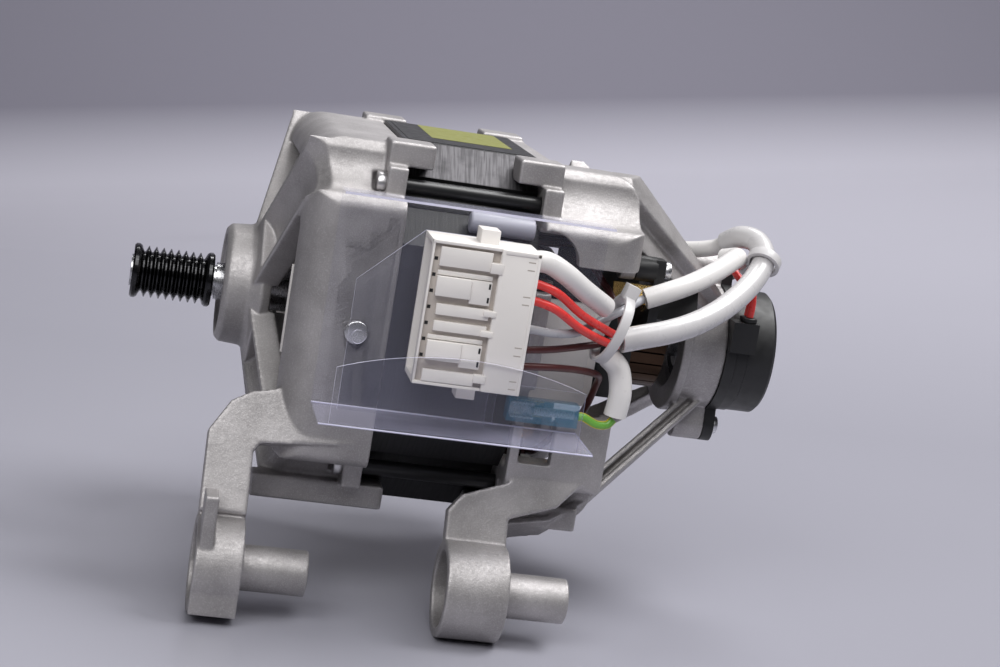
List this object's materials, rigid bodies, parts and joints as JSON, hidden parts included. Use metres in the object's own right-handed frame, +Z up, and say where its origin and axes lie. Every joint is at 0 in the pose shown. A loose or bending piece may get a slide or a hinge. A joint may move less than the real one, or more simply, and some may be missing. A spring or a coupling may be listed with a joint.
{
  "type": "washing machine motor",
  "caption": "Brushed drum motor with die-cast end brackets, grooved belt pulley, tacho cap, wired connector in a clear film and two mounting lugs.",
  "frame": {"origin": "on the shaft axis, in the middle plane of the belt grooves", "axes": "+X along the shaft from the pulley to the tacho cap, +Z up with the lugs below, -Y towards the connector side"},
  "size_m": [0.2096, 0.1485, 0.1438],
  "materials": {
    "cast_aluminium": "as cast, fine grain",
    "black_lamination": "black varnish over laminations",
    "enamelled_copper": "enamelled copper wire",
    "commutator_copper": "turned copper",
    "moulding": "moulded resin",
    "lamination_steel": "steel laminations",
    "steel": "turned steel",
    "bearing_steel": "ground steel",
    "black_pulley": "black oxide, oiled",
    "black_plastic": "moulded, fine grain",
    "cream_plastic": "moulded",
    "clear_film": "clear film",
    "magnet": "sintered",
    "carbon": "pressed carbon",
    "brass": "bright",
    "white_plastic": "glossy",
    "white_tube": "silicone tube",
    "grey_tube": "translucent tube",
    "red_wire": "glossy insulation",
    "grey_wire": "glossy insulation",
    "dark_wire": "glossy insulation",
    "green_wire": "green with a yellow stripe",
    "blue_cover": "clear blue"
  },
  "bodies": {
    "frame": {"front_bracket": "cast_aluminium", "rear_bracket": "cast_aluminium", "stator_core": "black_lamination", "field_coil_upper": "enamelled_copper", "field_coil_lower": "enamelled_copper", "tacho_coil": "enamelled_copper", "tie_bolts": "steel", "holder_screws": "steel", "tacho_screws": "steel", "sheet_screw": "steel", "wave_washer": "steel", "brush_spring_near": "steel", "brush_spring_far": "steel", "connector_terminals": "steel", "front_bearing_outer": "bearing_steel", "front_bearing_shields": "black_plastic", "front_insulator": "cream_plastic", "rear_bearing_outer": "bearing_steel", "rear_bearing_shields": "black_plastic", "rear_insulator": "cream_plastic", "brush_holder_near": "black_plastic", "brush_holder_far": "black_plastic", "tacho_cover": "black_plastic", "tacho_grommet": "black_plastic", "brush_terminals": "brass", "earth_tab": "brass", "connector_housing": "cream_plastic", "connector_cover": "cream_plastic", "insulation_sheet": "clear_film", "thermal_protector": "white_plastic", "bundle_tie": "white_plastic", "loop_tie": "white_plastic", "red_leads": "red_wire", "tacho_leads": "red_wire", "grey_lead": "grey_wire", "stator_leads": "dark_wire", "connector_sleeve": "grey_tube", "brush_sleeve": "grey_tube", "far_sleeve": "grey_tube", "drop_sleeve": "grey_tube", "white_sleeve": "white_tube", "earth_lead": "green_wire", "earth_terminal": "blue_cover"},
    "rotor": {"shaft": "steel", "rotor_core": "lamination_steel", "armature_winding": "enamelled_copper", "commutator_core": "moulding", "commutator_bars": "commutator_copper", "pulley": "black_pulley", "front_bearing_inner": "bearing_steel", "rear_bearing_inner": "bearing_steel", "tacho_magnet": "magnet"},
    "front_ball_set": {"front_bearing_balls": "bearing_steel", "front_bearing_cage": "brass"},
    "rear_ball_set": {"rear_bearing_balls": "bearing_steel", "rear_bearing_cage": "brass"},
    "near_brush": {"brush_near": "carbon"},
    "far_brush": {"brush_far": "carbon"}
  },
  "joints": [
    {"name": "rotor_spin", "type": "hinge", "parent": "frame", "child": "rotor", "pos_m": [0, 0, 0], "axis": [1, 0, 0], "continuous": true},
    {"name": "front_cage_spin", "type": "hinge", "parent": "frame", "child": "front_ball_set", "pos_m": [0, 0, 0], "axis": [1, 0, 0], "continuous": true},
    {"name": "rear_cage_spin", "type": "hinge", "parent": "frame", "child": "rear_ball_set", "pos_m": [0, 0, 0], "axis": [1, 0, 0], "continuous": true},
    {"name": "near_brush_slide", "type": "slide", "parent": "frame", "child": "near_brush", "axis": [0, -0.9063, 0.4226], "range_m": [0, 0.005], "stiffness_N_per_m": 120, "springref_m": -0.012, "deforming": ["brush_spring_near"]},
    {"name": "far_brush_slide", "type": "slide", "parent": "frame", "child": "far_brush", "axis": [0, 0.9063, -0.4226], "range_m": [0, 0.005], "stiffness_N_per_m": 120, "springref_m": -0.012, "deforming": ["brush_spring_far"]}
  ],
  "couplings": [
    {"joint": "front_cage_spin", "follows": "rotor_spin", "ratio": 0.3932},
    {"joint": "rear_cage_spin", "follows": "rotor_spin", "ratio": 0.3825}
  ]
}
